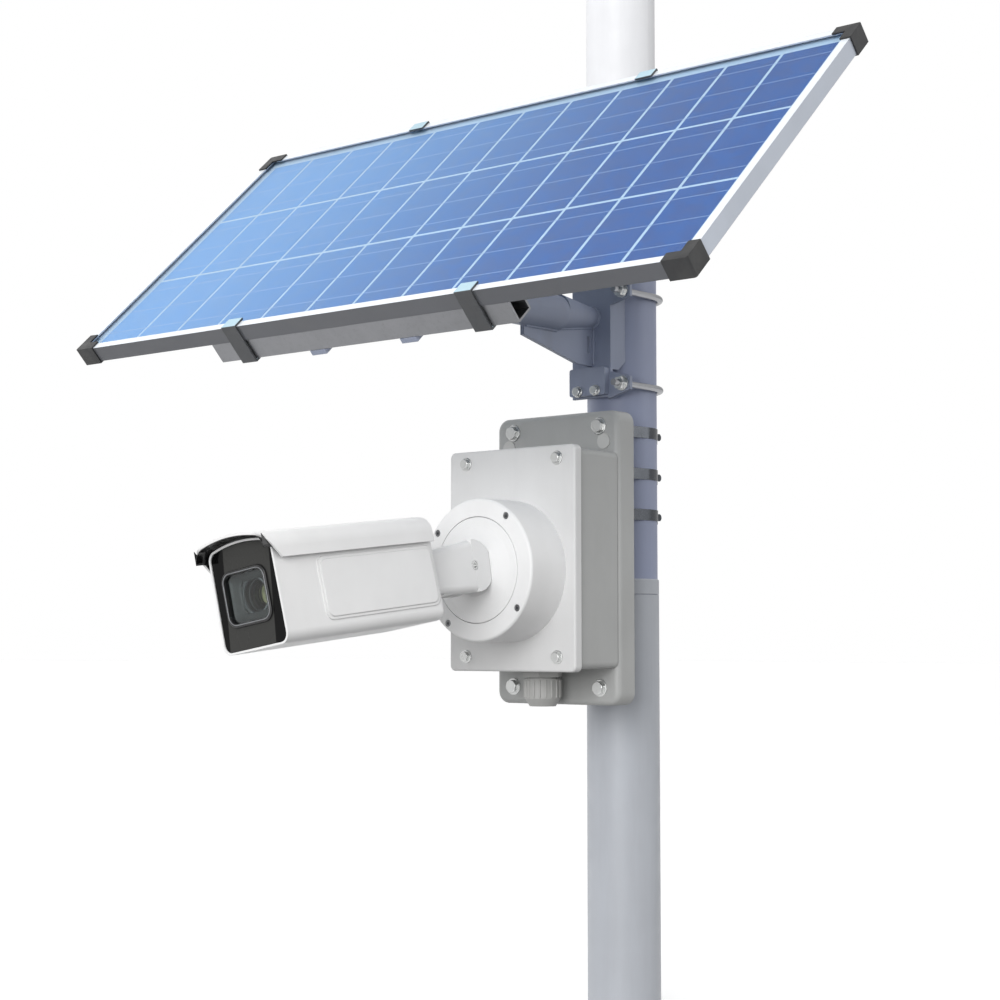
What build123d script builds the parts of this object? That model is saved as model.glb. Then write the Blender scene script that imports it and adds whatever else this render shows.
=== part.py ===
from build123d import *
import math
import os

# Pole-mounted, solar-powered bullet camera: mast section, tilting solar panel, battery box and camera.

os.makedirs("parts", exist_ok=True)

# ---------------------------------------------------------------- driving dimensions (mm, degrees)
# Axes: mast axis is Z with its foot at z = 0, the camera looks along -Y, +X is to the camera's left.
CAM_Z = 480.0            # height of the camera base axis above the mast foot

# mast
MAST_R = 38.05           # upper tube, 76.1 mm outside diameter
MAST_WALL = 2.5
MAST_TOP = CAM_Z + 655.0
MAST_JOINT = CAM_Z - 26.0
LOWER_R = 39.5           # lower tube, outside
COLLAR_H = 17.0
SOCKET_L = 80.0          # the upper tube stands this deep in the lower one

# solar panel and its support
PANEL_W = 793.0          # long side, along X
PANEL_H = 378.0          # short side, along the slope
FRAME_T = 17.0           # frame depth
FRAME_WALL = 1.8
LIP = 9.0                # frame lip seen from the front
GLASS_T = 3.2
CELL_COLS = 12
CELL_ROWS = 3
CELL_GAP = 4.0
CELL_EDGE = 15.0         # from frame edge to the first cell
PANEL_ELEV = 47.0        # elevation of the panel's normal above the horizon
HINGE_Y = -281.0
HINGE_Z = CAM_Z + 270.0
HINGE_DEPTH = 77.0       # hinge axis below the panel's front face
HINGE_DOWN = 52.0        # hinge axis below the panel's middle, along the slope
RAIL_V = 22.0            # support rail, along the slope
RAIL_W = 23.0            # support rail, away from the frame
RAIL_HX = 196.0          # support rails, half length
CLAMP_X = 155.0          # edge clamps either side of the arm
CLAMP_WIDE = 20.0

# bracket on the mast
ARM_Z = CAM_Z + 270.0
CHANNEL_X = 26.0         # half width
CHANNEL_FRONT = -54.0
CLAMP_HEIGHTS = (CAM_Z + 298.0, CAM_Z + 198.0)
HOOK_R = 3.5             # hook bolt rod
HOOK_RING = MAST_R + 0.35 + HOOK_R

# box
BOX_FRONT = -188.0       # front of the cover
COVER_T = 10.0
GASKET_T = 1.6
EAR_FRONT = -115.0
MOUNT_REAR = -88.0
COVER_HX = 84.0          # half width of the cover
COVER_Z = (-107.0, 121.0)
EAR_HX = 82.0
EAR_Z = (-142.0, 162.0)
EAR_BOLT_X = 58.0
EAR_BOLT_Z = (146.0, -124.0)
COVER_SCREW_X = 61.0
COVER_SCREW_Z = (108.0, -92.0)
BAND_Z = (149.0, 104.0, 60.0)
GLAND_X, GLAND_Y = 3.0, -141.0

# camera bracket, measured from the box's front
BASE_R = 72.0
BASE_T = 53.0
BASE_FRONT = BOX_FRONT - BASE_T
BASE_Z = CAM_Z - 5.0     # the camera's base sits this far below the box's reference
BASE_ROLL = 9.0          # the base is turned a little on the box
PAN_ROLL = 9.0           # and the pan ring stands square on the base at rest
RING_R = 53.2
SCREW_PCD_R = 65.5
KNUCKLE_R = 26.2
KNUCKLE_Y = BASE_FRONT - 26.5
ARM_HX = 22.0            # half width of the tilt arm
TILT = 6.2               # the camera looks this far below the base normal

# camera body, lengths measured forward from the tilt pin
REAR_S = 76.0
FACE_S = 286.0
VISOR_S = 299.0
BEZEL_W, BEZEL_H = 58.0, 51.0
CROWN = 49.0             # top of the body above its axis
SHIELD_REAR = 81.5       # the sunshield starts here
TRIM_FRONT = 236.0
TRIM_REAR = 83.0
SHIELD_SCREWS = (112.0, 232.0)
SHIELD_Z = 25.5          # lower edge of the sunshield's sides
CHEEK_RISE = 23.0        # the visor's cheeks are cut back this far up


# places of the camera's base, its pan ring, and everything that hangs on the tilt pin
BASE = Location((0, 0, BASE_Z), (0, -BASE_ROLL, 0))
PAN = Location((0, 0, BASE_Z), (0, -PAN_ROLL, 0))
HEAD = PAN * Location((0, KNUCKLE_Y, 0), (TILT, 0, 0))


# ---------------------------------------------------------------- helpers
def block(x0, x1, y0, y1, z0, z1):
    """Box between two corners."""
    return Pos((x0 + x1) / 2, (y0 + y1) / 2, (z0 + z1) / 2) * Box(x1 - x0, y1 - y0, z1 - z0)


def prism(plane, sketch, amount):
    """Extrude a sketch laid on a plane, always to the plane's own front."""
    return extrude(plane * sketch, amount=amount, dir=plane.z_dir)


def rod_x(r, x0, x1, y, z):
    return Pos((x0 + x1) / 2, y, z) * Rot(0, 90, 0) * Cylinder(r, x1 - x0)


def rod_y(r, y0, y1, x, z):
    return Pos(x, (y0 + y1) / 2, z) * Rot(90, 0, 0) * Cylinder(r, y1 - y0)


def rod_z(r, z0, z1, x=0.0, y=0.0):
    return Pos(x, y, (z0 + z1) / 2) * Cylinder(r, z1 - z0)


def front_plane(y, x=0.0, z=0.0):
    """Plane that faces the camera's way (-Y), with local x = X and local y = Z."""
    return Plane(origin=(x, y, z), x_dir=(1, 0, 0), z_dir=(0, -1, 0))


def side_plane(x=0.0):
    """Plane with local x = Y and local y = Z, facing +X."""
    return Plane(origin=(x, 0, 0), x_dir=(0, 1, 0), z_dir=(1, 0, 0))


def slab(width, height, corner, y_front, depth, x=0.0, z=0.0):
    """Upright rounded plate whose front face is at y_front."""
    return prism(front_plane(y_front + depth, x, z), RectangleRounded(width, height, corner), depth)


def hexagon_y(across_flats, y0, y1, x, z, turn=0.0):
    """Hexagonal prism along Y."""
    section = Rot(0, 0, turn) * RegularPolygon(across_flats / 2, 6, major_radius=False)
    return prism(front_plane(y1, x, z), section, y1 - y0)


def hex_bolt_y(x, z, seat, head_af, head_h, washer_r, shank_r, tip, turn=0.0):
    """Hexagon-head bolt with a flange; the head stands forward (-Y) of seat, the shank runs back to tip."""
    flange = rod_y(washer_r, seat - 1.6, seat, x, z)
    flange = chamfer(flange.edges().filter_by(GeomType.CIRCLE).sort_by(Axis.Y)[0], 0.5)
    head = hexagon_y(head_af, seat - 1.6 - head_h, seat - 1.6, x, z, turn)
    dome = rod_y(head_af / 2 * 1.12, seat - 1.6 - head_h, seat - 1.6, x, z)
    dome = fillet(dome.edges().filter_by(GeomType.CIRCLE).sort_by(Axis.Y)[0], 1.0)
    shank = rod_y(shank_r, seat, tip, x, z)
    return flange + (head & dome) + shank


def hull(*discs):
    """Outline of a string pulled tight round some circles."""
    return make_hull([edge for disc in discs for edge in disc.edges()])


def save(name, *solids):
    """Write one node from one or more separate solids, in the order given."""
    shape = solids[0] if len(solids) == 1 else Compound(children=list(solids))
    export_step(shape, f"parts/{name}.step")


# ---------------------------------------------------------------- mast
def make_mast():
    seat = MAST_JOINT - SOCKET_L
    lower = rod_z(LOWER_R, 0, MAST_JOINT) - rod_z(LOWER_R - MAST_WALL, 0, seat)
    save("mast_lower", lower - rod_z(MAST_R + 0.05, seat, MAST_JOINT))

    collar = rod_z(LOWER_R, MAST_JOINT + 0.5, MAST_JOINT + COLLAR_H)
    collar = chamfer(collar.edges().group_by(Axis.Z)[-1], 1.2)
    save("mast_collar", collar - rod_z(MAST_R + 0.02, MAST_JOINT, MAST_JOINT + COLLAR_H + 1))

    upper = rod_z(MAST_R, seat + 0.5, MAST_TOP)
    save("mast_upper", upper - rod_z(MAST_R - MAST_WALL, seat, MAST_TOP + 1))

    cap = rod_z(MAST_R + 1.2, MAST_TOP + 0.05, MAST_TOP + 5)
    cap = fillet(cap.edges().group_by(Axis.Z)[-1], 3.0)
    plug_r = MAST_R - MAST_WALL - 0.05
    cap += rod_z(plug_r, MAST_TOP - 18, MAST_TOP + 0.05) - rod_z(plug_r - 3, MAST_TOP - 18, MAST_TOP + 0.05)
    save("mast_cap", cap)


# ---------------------------------------------------------------- bracket that carries the panel
def make_bracket():
    top, flange_foot, foot = CAM_Z + 345, CAM_Z + 215, CAM_Z + 185
    web = block(-CHANNEL_X, CHANNEL_X, CHANNEL_FRONT, CHANNEL_FRONT + 4, foot, top)
    flanges = []
    for side in (-1, 1):
        xs = sorted((side * (CHANNEL_X - 4), side * CHANNEL_X))
        profile = Polygon(
            (CHANNEL_FRONT + 1, flange_foot), (CHANNEL_FRONT + 14, flange_foot),
            (-28, flange_foot + 10), (-28, top), (CHANNEL_FRONT + 1, top), align=None)
        flanges.append(prism(side_plane(xs[0]), profile, 4))
    pad = block(-24, 24, CHANNEL_FRONT - 8, CHANNEL_FRONT, CAM_Z + 187, CAM_Z + 217)
    channel = web + flanges[0] + flanges[1] + fillet(pad.edges().filter_by(Axis.Y), 3)
    for z in CLAMP_HEIGHTS:
        root = CHANNEL_X - 3
        ear = Polygon((root, z - 15), (52, z - 7), (52, z + 7), (root, z + 15), align=None)
        channel += prism(front_plane(CHANNEL_FRONT + 4), ear, 4)
        channel -= rod_y(HOOK_R + 0.1, CHANNEL_FRONT - 1, CHANNEL_FRONT + 5, HOOK_RING, z)
        channel -= block(-CHANNEL_X - 1, -CHANNEL_X + 5, -46, -25, z - 6, z + 6)
    for x in (-12, 12):
        channel -= rod_y(3.1, CHANNEL_FRONT - 9, CHANNEL_FRONT + 5, x, CAM_Z + 192)
    channel -= rod_z(MAST_R + 0.35, foot - 1, top + 1)
    save("mast_channel", channel)

    # conical arm with a gusset below it and an eye for the tilt bolt at its end
    y0 = CHANNEL_FRONT - 0.05
    cone = Solid.make_cone(11, 19, 60, plane=Plane(origin=(0, y0, ARM_Z + 2), z_dir=(0, -1, 0)))
    tube_end = HINGE_Y + 22
    tube = rod_y(19, tube_end, y0 - 60, 0, ARM_Z)
    eye = rod_x(15, -19.5, 19.5, HINGE_Y, HINGE_Z)
    neck = block(-15, 15, HINGE_Y, tube_end + 6, ARM_Z - 14, ARM_Z + 14)
    z = CAM_Z
    gusset = Polygon(
        (y0, z + 219), (-81, z + 220), (-170, z + 241), (-170, z + 262), (y0, z + 268), align=None)
    arm = cone + tube + neck + eye + prism(side_plane(-2.5), gusset, 5)
    arm -= block(-5, 5, -64, -60, z + 233, z + 251)
    arm -= rod_y(8, -118, y0 + 1, 0, ARM_Z + 1) + rod_y(15.5, tube_end + 10, -112, 0, ARM_Z)
    save("panel_arm", arm - rod_x(5.05, -20, 20, HINGE_Y, HINGE_Z))

    hooks, nuts = [], []
    end = math.radians(222)
    for z in CLAMP_HEIGHTS:
        tail = (HOOK_RING * math.cos(end), HOOK_RING * math.sin(end))
        tip = (tail[0] - 11 * math.sin(end), tail[1] + 11 * math.cos(end))
        path = Wire([
            Edge.make_line((HOOK_RING, -70, z), (HOOK_RING, 0, z)),
            Edge.make_three_point_arc((HOOK_RING, 0, z), (0, HOOK_RING, z), (-HOOK_RING, 0, z)),
            Edge.make_three_point_arc(
                (-HOOK_RING, 0, z),
                (HOOK_RING * math.cos((end + math.pi) / 2), HOOK_RING * math.sin((end + math.pi) / 2), z),
                (*tail, z)),
            Edge.make_line((*tail, z), (*tip, z))])
        section = Plane(origin=(HOOK_RING, -70, z), z_dir=(0, 1, 0)) * Circle(HOOK_R)
        hooks.append(sweep(section, path=path))
        nut = hexagon_y(12, CHANNEL_FRONT - 8, CHANNEL_FRONT - 2, HOOK_RING, z)
        nut += rod_y(8, CHANNEL_FRONT - 2, CHANNEL_FRONT - 0.02, HOOK_RING, z)
        nuts.append(nut - rod_y(HOOK_R + 0.02, CHANNEL_FRONT - 9, CHANNEL_FRONT, HOOK_RING, z))
    save("hook_bolts", *hooks)
    for x in (-12, 12):
        nuts.append(hex_bolt_y(x, CAM_Z + 192, CHANNEL_FRONT - 8.05, 9, 3.6, 6, 3, CHANNEL_FRONT + 4))
    save("bracket_fasteners", *nuts)


# ---------------------------------------------------------------- solar panel
# Local axes: x, v up the slope, w outward from the glass.
elev = math.radians(PANEL_ELEV)
PANEL_N = (0.0, -math.cos(elev), math.sin(elev))
PANEL_U = (0.0, math.sin(elev), math.cos(elev))
PANEL_C = (
    0.0,
    HINGE_Y + HINGE_DEPTH * PANEL_N[1] + HINGE_DOWN * PANEL_U[1],
    HINGE_Z + HINGE_DEPTH * PANEL_N[2] + HINGE_DOWN * PANEL_U[2])
PANEL = Plane(origin=PANEL_C, x_dir=(1, 0, 0), z_dir=PANEL_N).location


def rail_profile():
    """Frame section: local x runs inward from the outer wall, local y is w."""
    t = FRAME_WALL
    return Polygon(
        (0, 0), (LIP, 0), (LIP, -1.5), (t, -1.5), (t, -5.6), (LIP, -5.6), (LIP, -7), (t, -7),
        (t, -FRAME_T + 1.5), (14, -FRAME_T + 1.5), (14, -FRAME_T), (0, -FRAME_T), align=None)


def make_panel():
    hw, hh = PANEL_W / 2, PANEL_H / 2
    # long rails run the full width, short rails fit between their inner faces
    corner = Plane(origin=(-hw, -hh, 0), x_dir=(0, 1, 0), z_dir=(1, 0, 0))
    long_rail = prism(corner, rail_profile(), PANEL_W)
    notch = block(-hw - 1, -hw + LIP + 6, -hh + FRAME_WALL, -hh + 15, -20, 1)
    long_rail = long_rail - notch - notch.mirror(Plane.YZ)
    save("frame_bottom", PANEL * long_rail)
    save("frame_top", PANEL * long_rail.mirror(Plane.XZ))
    reach = hh - FRAME_WALL - 0.02
    end = Plane(origin=(-hw, reach, 0), x_dir=(1, 0, 0), z_dir=(0, -1, 0))
    short_rail = prism(end, rail_profile(), 2 * reach)
    save("frame_left", PANEL * short_rail)
    save("frame_right", PANEL * short_rail.mirror(Plane.YZ))

    # moulded corner caps, L-shaped over the frame's corners
    caps = []
    skin, leg, lip = 1.6, 25.0, 10.5
    for sx in (-1, 1):
        for sv in (-1, 1):
            cap = block(-hw - skin, -hw + leg, -hh - skin, -hh + leg, -FRAME_T - skin, skin)
            cap = fillet(cap.edges().filter_by(Axis.Z).sort_by(Axis.X)[0:1], 2.5)
            cap -= block(-hw - 0.03, -hw + leg + 1, -hh - 0.03, -hh + leg + 1, -FRAME_T - 0.03, 0.03)
            cap -= block(-hw + lip, -hw + leg + 1, -hh + lip, -hh + leg + 1, -30, 5)
            if sx > 0:
                cap = cap.mirror(Plane.YZ)
            if sv > 0:
                cap = cap.mirror(Plane.XZ)
            caps.append(PANEL * cap)
    save("corner_caps", *caps)

    inset = FRAME_WALL + 0.3
    glass_top = -1.55
    glass = block(-hw + inset, hw - inset, -hh + inset, hh - inset, glass_top - GLASS_T, glass_top)
    save("panel_glass", PANEL * glass)
    back_top = glass_top - GLASS_T - 0.32
    sheet = block(-hw + inset, hw - inset, -hh + inset, hh - inset, back_top - 0.45, back_top)
    save("back_sheet", PANEL * sheet)
    pitch_x = (PANEL_W - 2 * CELL_EDGE) / CELL_COLS
    pitch_v = (PANEL_H - 2 * CELL_EDGE) / CELL_ROWS
    cell = Box(pitch_x - CELL_GAP, pitch_v - CELL_GAP, 0.28)
    cells = []
    for col in range(CELL_COLS):
        for row in range(CELL_ROWS):
            x = -hw + CELL_EDGE + (col + 0.5) * pitch_x
            v = -hh + CELL_EDGE + (row + 0.5) * pitch_v
            cells.append(PANEL * Pos(x, v, back_top + 0.15) * cell)
    save("solar_cells", *cells)

    jbox = block(-55, 45, 85, 145, back_top - 20, back_top - 0.5)
    jbox = fillet(jbox.edges().filter_by(Axis.Z), 5)
    jbox = fillet(jbox.edges().group_by(Axis.Z)[0], 2)
    jbox += rod_y(6, 75, 86, -30, back_top - 11) + rod_y(6, 75, 86, 20, back_top - 11)
    save("junction_box", PANEL * jbox)

    # support rails, edge clamps, cross bars
    rail_back = -FRAME_T - 0.02 - RAIL_W
    rail = block(-RAIL_HX, RAIL_HX, -hh + 1, -hh + 1 + RAIL_V, rail_back, -FRAME_T - 0.02)
    bore = block(-400, 400, -hh + 3.2, -hh + 1 + RAIL_V - 2.2, rail_back + 2.2, -FRAME_T - 2.2)
    rail = fillet(rail.edges().filter_by(Axis.X), 1.2) - bore
    save("lower_rail", PANEL * rail)
    save("upper_rail", PANEL * rail.mirror(Plane.XZ))

    clamps = []
    for x in (-CLAMP_X, CLAMP_X):
        for flip in (False, True):
            x0, x1 = x - CLAMP_WIDE / 2, x + CLAMP_WIDE / 2
            clamp = block(x0, x1, -hh - 2.2, -hh - 0.05, rail_back - 2.2, 2.2)
            clamp += block(x0, x1, -hh - 2.2, -hh + 12, 0.05, 2.2)
            clamp += block(x0, x1, -hh - 2.2, -hh + RAIL_V + 3, rail_back - 2.2, rail_back - 0.05)
            clamp = fillet(clamp.edges().filter_by(Axis.X).group_by(Axis.Y)[0], 1.2)
            clamps.append(PANEL * (clamp.mirror(Plane.XZ) if flip else clamp))
    save("edge_clamps", *clamps)

    bar_w = rail_back - 2.3
    bars = []
    for x in (-60, 60):
        bar = block(x - 10, x + 10, -hh + 1, hh - 1, bar_w - 3, rail_back - 0.02)
        bar -= block(x - 8, x + 8, -hh + 40, hh - 40, bar_w, rail_back + 1)
        bars.append(PANEL * bar)
    save("cross_bars", *bars)

    # hinge bracket under the bars; its lugs straddle the arm's eye
    plate_w = bar_w - 3.05
    hinge_v, hinge_w = -HINGE_DOWN, -HINGE_DEPTH
    plate = block(-78, 78, hinge_v - 42, hinge_v + 42, plate_w - 3.5, plate_w)
    plate = fillet(plate.edges().filter_by(Axis.Z), 8)
    for side in (-1, 1):
        xs = sorted((side * 20, side * 24.5))
        lug = Polygon((hinge_v - 34, plate_w - 2), (hinge_v + 34, plate_w - 2),
                      (hinge_v + 14, hinge_w), (hinge_v - 14, hinge_w), align=None)
        plate += prism(side_plane(xs[0]), lug, 4.5)
        plate += rod_x(14, xs[0], xs[1], hinge_v, hinge_w)
    save("tilt_bracket", PANEL * (plate - rod_x(5.02, -130, 100, hinge_v, hinge_w)))

    pin = rod_x(5.0, -27, 38, HINGE_Y, HINGE_Z)
    hexagon = RegularPolygon(8, 6, major_radius=False)
    pin += prism(Plane(origin=(-32, HINGE_Y, HINGE_Z), z_dir=(1, 0, 0)), hexagon, 6)
    pin += rod_x(10, -26.5, -24.55, HINGE_Y, HINGE_Z)
    nut = prism(Plane(origin=(26.5, HINGE_Y, HINGE_Z), z_dir=(1, 0, 0)), hexagon, 8)
    nut += rod_x(10, 24.55, 26.5, HINGE_Y, HINGE_Z)
    save("tilt_bolt", pin, nut - rod_x(5.02, 24, 36, HINGE_Y, HINGE_Z))


# ---------------------------------------------------------------- box on the mast
def make_straps():
    inner, thick, tall = MAST_R + 0.05, 0.8, 12.0
    corner_x, corner_y = 28.0, -54.0
    bands, buckles = [], []
    for dz in BAND_Z:
        z = CAM_Z + dz
        loops = [
            hull(Circle(inner + grow), Pos(-corner_x, corner_y) * Circle(2.1 + grow),
                 Pos(corner_x, corner_y) * Circle(2.1 + grow))
            for grow in (thick, 0.0)]
        bands.append(extrude(Pos(0, 0, z - tall / 2) * (loops[0] - loops[1]), amount=tall))
        housing = block(-11, 11, 33, MAST_R + 12, z - 8, z + 8)
        housing = fillet(housing.edges().filter_by(Axis.X), 2) - rod_z(inner + thick + 0.04, z - 9, z + 9)
        screw = rod_x(4, -17, 17, MAST_R + 7, z)
        buckles.append(housing + screw)
    save("strap_bands", *bands)
    save("strap_buckles", *buckles)

    low, high = CAM_Z + 38, CAM_Z + 154.5
    plate = slab(150, 286, 8, MOUNT_REAR + 0.05, 4, 0, CAM_Z + 12)
    saddle = plate
    for side in (-1, 1):
        xs = sorted((side * 17, side * 22))
        saddle += block(xs[0], xs[1], MOUNT_REAR + 3, -30, low, high)
    for dz in BAND_Z:
        saddle -= block(-24, 24, -60, -50, CAM_Z + dz - 7, CAM_Z + dz + 7)
    for x in (-EAR_BOLT_X, EAR_BOLT_X):
        for dz in EAR_BOLT_Z:
            saddle -= rod_y(4.3, MOUNT_REAR - 1, MOUNT_REAR + 6, x, CAM_Z + dz)
    save("pole_saddle", saddle - rod_z(MAST_R + 0.03, low - 1, high + 1))


def make_box():
    mid = (EAR_Z[0] + EAR_Z[1]) / 2
    tall = EAR_Z[1] - EAR_Z[0]
    depth = MOUNT_REAR - EAR_FRONT
    shell = slab(2 * EAR_HX, tall, 13, EAR_FRONT, depth, 0, CAM_Z + mid)
    shell = fillet(shell.edges().group_by(Axis.Y)[0], 6)
    shell -= slab(2 * EAR_HX - 8, tall - 8, 9, EAR_FRONT + 4, depth, 0, CAM_Z + mid)
    for x in (-EAR_BOLT_X, EAR_BOLT_X):
        for dz in EAR_BOLT_Z:
            shell += rod_y(9, EAR_FRONT + 3, MOUNT_REAR, x, CAM_Z + dz)
            shell -= rod_y(4.3, EAR_FRONT - 1, MOUNT_REAR + 1, x, CAM_Z + dz)
    plug_x, plug_z = EAR_BOLT_X + 6, EAR_BOLT_Z[0] - 16
    for x in (-plug_x, plug_x):
        shell -= rod_y(6, EAR_FRONT - 1, EAR_FRONT + 6, x, CAM_Z + plug_z)
    save("mount_box", shell)

    bolts, plugs = [], []
    for x in (-EAR_BOLT_X, EAR_BOLT_X):
        for dz in EAR_BOLT_Z:
            bolts.append(hex_bolt_y(x, CAM_Z + dz, EAR_FRONT - 0.05, 12.5, 4.4, 9, 4, MOUNT_REAR + 14, 15))
            nut = hexagon_y(13, MOUNT_REAR + 4.1, MOUNT_REAR + 10.5, x, CAM_Z + dz)
            bolts.append(nut - rod_y(4.02, MOUNT_REAR, MOUNT_REAR + 12, x, CAM_Z + dz))
        plug = rod_y(5.95, EAR_FRONT - 0.05, EAR_FRONT + 3.9, math.copysign(plug_x, x), CAM_Z + plug_z)
        plug += rod_y(8, EAR_FRONT - 1.3, EAR_FRONT - 0.05, math.copysign(plug_x, x), CAM_Z + plug_z)
        plugs.append(plug)
    save("ear_bolts", *bolts)
    save("keyhole_plugs", *plugs)

    # housing with screw pillars, open to the front
    rim = BOX_FRONT + COVER_T + GASKET_T
    cz = CAM_Z + sum(COVER_Z) / 2
    tall = COVER_Z[1] - COVER_Z[0]
    rear = EAR_FRONT - 0.05
    body = slab(2 * COVER_HX - 6, tall - 6, 7, rim, rear - rim, 0, cz)
    cavity = slab(2 * COVER_HX - 14, tall - 14, 4, rim - 1, rear - 4 - rim + 1, 0, cz)
    body -= cavity
    for x in (-COVER_SCREW_X, COVER_SCREW_X):
        for dz in COVER_SCREW_Z:
            body += rod_y(5.8, rim + 0.5, rear - 3, x, CAM_Z + dz)
            body -= rod_y(2.55, rim, rim + 26, x, CAM_Z + dz)
    body -= rod_z(16.05, CAM_Z + COVER_Z[0] - 1, CAM_Z + COVER_Z[0] + 9, GLAND_X, GLAND_Y)
    save("enclosure_body", body)

    seal = slab(2 * COVER_HX - 5.4, tall - 5.4, 7, rim - GASKET_T + 0.02, GASKET_T - 0.04, 0, cz)
    save("cover_gasket", seal - slab(2 * COVER_HX - 14, tall - 14, 4, rim - 5, 10, 0, cz))

    cover = slab(2 * COVER_HX, tall, 6, BOX_FRONT, COVER_T, 0, cz)
    cover = fillet(cover.edges().group_by(Axis.Y)[0], 2.2)
    cover -= slab(2 * COVER_HX - 18, tall - 18, 4, BOX_FRONT + 4, COVER_T, 0, cz)
    screws = []
    for x in (-COVER_SCREW_X, COVER_SCREW_X):
        for dz in COVER_SCREW_Z:
            cover += rod_y(5.8, BOX_FRONT + 3, BOX_FRONT + COVER_T + 1.4, x, CAM_Z + dz)
            cover -= rod_y(3.0, BOX_FRONT - 1, BOX_FRONT + 20, x, CAM_Z + dz)
            screws.append(hex_bolt_y(x, CAM_Z + dz, BOX_FRONT - 0.05, 9.5, 3.4, 7, 2.5, rim + 20, 10))
    cover -= rod_y(15, BOX_FRONT - 1, BOX_FRONT + 10, 0, BASE_Z)
    for k in range(4):
        a = math.radians(45 + 90 * k)
        cover -= BASE * rod_y(1.65, BOX_FRONT - 1, BOX_FRONT + 8, SCREW_PCD_R * math.cos(a),
                              SCREW_PCD_R * math.sin(a))
    save("enclosure_cover", cover)
    save("cover_screws", *screws)

    make_electronics(rear - 4)


def make_electronics(floor):
    """Battery, charge controller and modem, standing on the housing's rear wall."""
    z = CAM_Z
    pack = block(-72, 22, floor - 30, floor - 0.05, z - 72, z - 3)
    pack = fillet(pack.edges().filter_by(Axis.Z), 6)
    save("battery_pack", pack)

    board = block(-70, 10, floor - 8, floor - 6.4, z + 12, z + 90)
    for x in (-66, 6):
        for dz in (16, 86):
            board += rod_y(2.5, floor - 6.5, floor - 0.05, x, z + dz)
    board += block(-40, -10, floor - 20, floor - 8, z + 50, z + 80)
    board += block(-64, -2, floor - 18, floor - 8, z + 16, z + 28)
    board += rod_y(6, floor - 24, floor - 8, -55, z + 55) + rod_y(6, floor - 24, floor - 8, 0, z + 60)
    save("charge_controller", board)

    modem = block(28, 76, floor - 8, floor - 6.4, z - 40, z + 70)
    for x in (32, 72):
        for dz in (-36, 66):
            modem += rod_y(2.5, floor - 6.5, floor - 0.05, x, z + dz)
    modem += block(36, 68, floor - 11, floor - 8, z + 10, z + 42)
    modem += block(40, 64, floor - 12, floor - 8, z - 30, z - 4)
    antenna = block(63, 75.5, floor - 14, floor - 11, z + 76, z + 96)
    antenna += rod_y(2, floor - 11, floor - 0.05, 69, z + 86)
    save("modem_board", modem, antenna)


def make_gland():
    x, y = GLAND_X, GLAND_Y
    seat = CAM_Z + COVER_Z[0] + 3 - 0.05           # underside of the housing
    up = Plane(origin=(x, y, seat - 9), x_dir=(1, 0, 0), z_dir=(0, 0, 1))
    body = prism(up, RegularPolygon(18.5, 6, major_radius=False), 9)
    body += rod_z(16, seat, seat + 12, x, y) + rod_z(15, seat - 25, seat - 9, x, y)
    lock = prism(Plane(origin=(x, y, seat + 4.15), x_dir=(1, 0, 0), z_dir=(0, 0, 1)),
                 RegularPolygon(19, 6, major_radius=False), 5)
    lock -= rod_z(16.02, seat, seat + 12, x, y)
    save("gland_body", body - rod_z(11, seat - 26, seat + 13, x, y), lock)
    save("gland_seal", rod_z(10.95, seat - 35, seat - 12, x, y))
    nut = rod_z(18.5, seat - 31, seat - 10.5, x, y)
    nut += Solid.make_cone(13.5, 18.5, 8, plane=Plane(origin=(x, y, seat - 39), z_dir=(0, 0, 1)))
    for k in range(18):
        a = math.radians(20 * k)
        nut += rod_z(1.1, seat - 30, seat - 12, x + 18.5 * math.cos(a), y + 18.5 * math.sin(a))
    nut -= rod_z(15.05, seat - 25.5, seat - 10, x, y) + rod_z(11, seat - 36, seat - 25, x, y)
    save("gland_nut", nut - rod_z(9.5, seat - 41, seat - 25, x, y))


# ---------------------------------------------------------------- camera bracket
def flare():
    """Shallow cone in the middle of the pan ring, which the arm's round end cuts into."""
    foot_r, top_r, height = 50.0, 27.0, 4.5
    side = Spline((foot_r, 0), (42, -0.8), (34, -2.4), (top_r, -height))
    section = make_face([
        Line((0, 0), (foot_r, 0)),
        side,
        Line((top_r, -height), (0, -height)),
        Line((0, -height), (0, 0))])
    return Pos(0, BASE_FRONT, 0) * revolve(section, Axis.Y, 360)


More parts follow.
